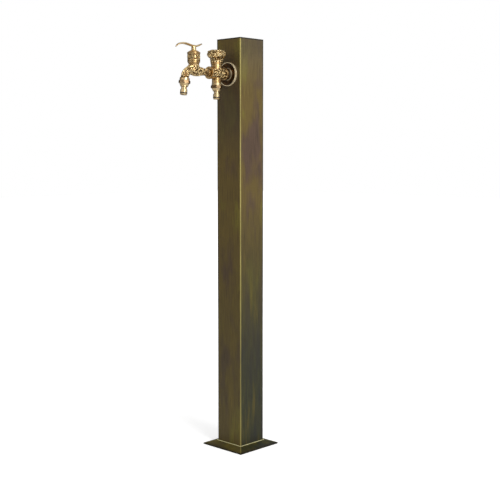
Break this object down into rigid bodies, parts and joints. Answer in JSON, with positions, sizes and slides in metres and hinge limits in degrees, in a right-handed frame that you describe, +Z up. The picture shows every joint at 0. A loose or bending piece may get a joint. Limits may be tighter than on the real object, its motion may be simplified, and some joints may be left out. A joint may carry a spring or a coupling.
{
  "type": "garden standpipe",
  "caption": "Square bronze-finish steel column on a sloping foot, with an ornamental brass double tap: lever spout in front, knob valve behind, hose nozzles below.",
  "frame": {"origin": "centre of the foot on the ground, on the column's axis", "axes": "+Z up along the column; -Y outwards from the column along the tap; the plane X=0 is the plane of symmetry"},
  "size_m": [0.132, 0.2741, 1],
  "materials": {
    "column_bronze": "brushed antique bronze",
    "tap_brass": "antique brass, polished on the raised work",
    "lever_brass": "satin brass",
    "inner_brass": "machined",
    "knob_disc": "dark bronze",
    "pipe_steel": "galvanised",
    "screw_steel": "stainless",
    "seal_rubber": "matt black",
    "disc_ceramic": "lapped"
  },
  "bodies": {
    "root": {"column_tube": "column_bronze", "column_lid": "column_bronze", "anchor_plate": "column_bronze", "foot_weld": "column_bronze", "inlet_grommet": "seal_rubber", "inlet_socket": "pipe_steel", "riser_pipe": "pipe_steel", "wall_elbow": "pipe_steel", "wall_nipple": "inner_brass", "lock_washer": "screw_steel", "lock_nut": "inner_brass", "wall_flange": "tap_brass", "tee_body": "tap_brass", "rear_headwork": "inner_brass", "headwork_gasket": "seal_rubber", "tee_nozzle": "tap_brass", "tee_nozzle_washer": "seal_rubber", "tee_nozzle_seal": "seal_rubber", "front_body": "tap_brass", "cartridge_body": "inner_brass", "cartridge_seal": "seal_rubber", "fixed_disc": "disc_ceramic", "front_bonnet": "tap_brass", "spout_nozzle": "tap_brass", "spout_nozzle_washer": "seal_rubber", "spout_nozzle_seal": "seal_rubber"},
    "lever": {"lever": "lever_brass", "lever_screw": "screw_steel", "cartridge_spindle": "inner_brass", "cartridge_spindle_seal": "seal_rubber", "turning_disc": "disc_ceramic"},
    "knob": {"rear_knob": "tap_brass", "knob_screw": "screw_steel", "knob_button": "knob_disc", "rear_spindle": "inner_brass", "spindle_seal": "seal_rubber", "spindle_clip": "screw_steel"},
    "jumper": {"jumper_carrier": "inner_brass", "jumper_washer": "seal_rubber", "jumper_screw": "screw_steel"},
    "cover": {"foot_cover": "column_bronze"}
  },
  "joints": [
    {"name": "lever_turn", "type": "hinge", "parent": "root", "child": "lever", "pos_m": [0, -0.1524, 0.96], "axis": [0, 0, 1], "range_deg": [0, 90]},
    {"name": "knob_turn", "type": "hinge", "parent": "root", "child": "knob", "pos_m": [0, -0.0798, 0.95], "axis": [0, 0, 1], "range_deg": [0, 720]},
    {"name": "jumper_lift", "type": "slide", "parent": "root", "child": "jumper", "axis": [0, 0, 1], "range_m": [0, 0.00501]},
    {"name": "cover_lift", "type": "slide", "parent": "root", "child": "cover", "axis": [0, 0, 1], "range_m": [0, 0.87]}
  ],
  "couplings": [
    {"joint": "jumper_lift", "follows": "knob_turn", "m_per_rad": 0.00039789}
  ]
}
